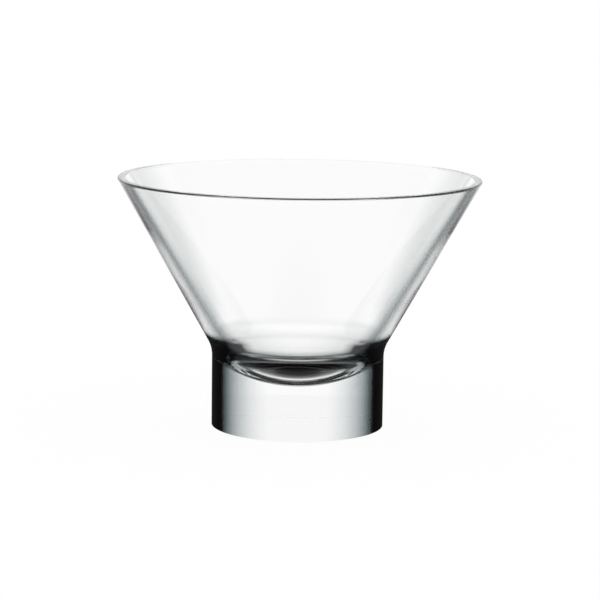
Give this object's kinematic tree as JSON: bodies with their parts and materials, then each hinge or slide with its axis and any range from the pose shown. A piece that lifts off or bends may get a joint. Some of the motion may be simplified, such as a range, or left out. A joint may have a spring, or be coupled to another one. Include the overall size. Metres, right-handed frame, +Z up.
{
  "type": "sundae glass",
  "caption": "Clear glass dessert coupe: a wide straight-sided conical bowl with a narrow level rim and dished bottom, on a short solid cylindrical foot.",
  "frame": {"origin": "on the table, under the middle of the foot", "axes": "+Z up along the axis of turning; X and Y lie in the table, and the glass is the same all round"},
  "size_m": [0.1208, 0.1208, 0.0834],
  "materials": {
    "bowl_glass": "clear, pressed and fire-polished",
    "foot_glass": "clear, pressed and fire-polished"
  },
  "bodies": {
    "root": {"bowl": "bowl_glass", "foot": "foot_glass"}
  },
  "joints": []
}
